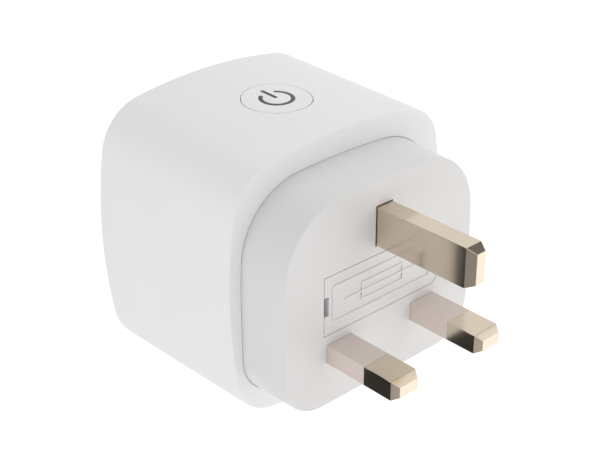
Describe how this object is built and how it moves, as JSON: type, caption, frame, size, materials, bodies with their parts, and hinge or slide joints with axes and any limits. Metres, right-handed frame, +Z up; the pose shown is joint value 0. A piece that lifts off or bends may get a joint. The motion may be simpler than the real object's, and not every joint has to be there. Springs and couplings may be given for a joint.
{
  "type": "plug in power meter",
  "caption": "Square plug-in power meter and switched adaptor: rounded white casing, British three-pin plug with fuse cover behind, socket in front, push button on top.",
  "frame": {"origin": "midpoint between the live and neutral pins, on the pin face", "axes": "+Y out of the pin face along the pins, towards the wall socket; +Z up towards the earth pin; the device's own socket faces -Y"},
  "size_m": [0.057, 0.0742, 0.0575],
  "materials": {
    "casing": "satin white moulded polycarbonate",
    "base_plastic": "satin white moulded polycarbonate",
    "button_plastic": "satin white moulded polycarbonate",
    "pin_metal": "bright nickel-tinted brass",
    "sleeve_plastic": "warm grey nylon",
    "symbol": "dark translucent light guide",
    "fuse_ceramic": "glazed ceramic",
    "plated_metal": "tin plated",
    "spring_steel": "drawn wire",
    "contact_metal": "stamped brass",
    "inner_plastic": "moulded nylon",
    "board": "green solder mask",
    "relay_plastic": "blue moulded",
    "copper_winding": "enamelled copper wire",
    "capacitor_sleeve": "shrink sleeve",
    "capacitor_yellow": "moulded box",
    "varistor_blue": "epoxy dip",
    "chip_black": "moulded epoxy",
    "led": "clear lens"
  },
  "bodies": {
    "casing": {"outer_shell": "casing", "front_cover": "casing", "rear_base": "base_plastic", "earth_pin": "pin_metal", "live_pin": "pin_metal", "neutral_pin": "pin_metal", "live_sleeve": "sleeve_plastic", "neutral_sleeve": "sleeve_plastic", "live_fuse_clip": "contact_metal", "load_fuse_clip": "contact_metal", "neutral_strap": "contact_metal", "earth_strap": "contact_metal", "shutter_guide": "inner_plastic", "shutter_spring": "spring_steel", "live_contact": "contact_metal", "neutral_contact": "contact_metal", "earth_contact": "contact_metal", "power_board": "board", "board_screws": "plated_metal", "relay_base": "relay_plastic", "relay_case": "relay_plastic", "relay_coil": "copper_winding", "relay_yoke": "plated_metal", "relay_contact": "contact_metal", "bulk_capacitor": "capacitor_sleeve", "film_capacitor": "capacitor_yellow", "inductor": "copper_winding", "varistor": "varistor_blue", "shunt": "plated_metal", "metering_chip": "chip_black", "supply_chip": "chip_black", "header": "chip_black", "control_board": "board", "radio_module": "plated_metal", "tact_switch": "chip_black", "indicator_led": "led"},
    "power_button": {"power_button": "button_plastic", "light_guide": "symbol"},
    "tact_plunger": {"tact_plunger": "chip_black"},
    "shutter": {"shutter": "inner_plastic"},
    "fuse_carrier": {"fuse_carrier": "base_plastic", "fuse_tube": "fuse_ceramic", "fuse_caps": "plated_metal"},
    "relay_armature": {"relay_armature": "plated_metal"}
  },
  "joints": [
    {"name": "button_press", "type": "slide", "parent": "casing", "child": "power_button", "axis": [0, 0, -1], "range_m": [0, 0.0004], "stiffness_N_per_m": 1000, "springref_m": -0.0006},
    {"name": "tact_press", "type": "slide", "parent": "casing", "child": "tact_plunger", "axis": [0, 0, -1], "range_m": [0, 0.0004], "stiffness_N_per_m": 200, "springref_m": -0.0006},
    {"name": "shutter_slide", "type": "slide", "parent": "casing", "child": "shutter", "axis": [0, 0, -1], "range_m": [0, 0.0065], "stiffness_N_per_m": 150, "springref_m": -0.003, "deforming": ["shutter_spring"]},
    {"name": "fuse_carrier_pull", "type": "slide", "parent": "casing", "child": "fuse_carrier", "axis": [0, 1, 0], "range_m": [0, 0.034]},
    {"name": "relay_switch", "type": "hinge", "parent": "casing", "child": "relay_armature", "pos_m": [-0.013, -0.0308, 0.0068], "axis": [-1, 0, 0], "range_deg": [0, 4], "stiffness_Nm_per_rad": 0.002, "springref_deg": -5.73}
  ],
  "couplings": [
    {"joint": "tact_press", "follows": "button_press", "ratio": 1}
  ]
}
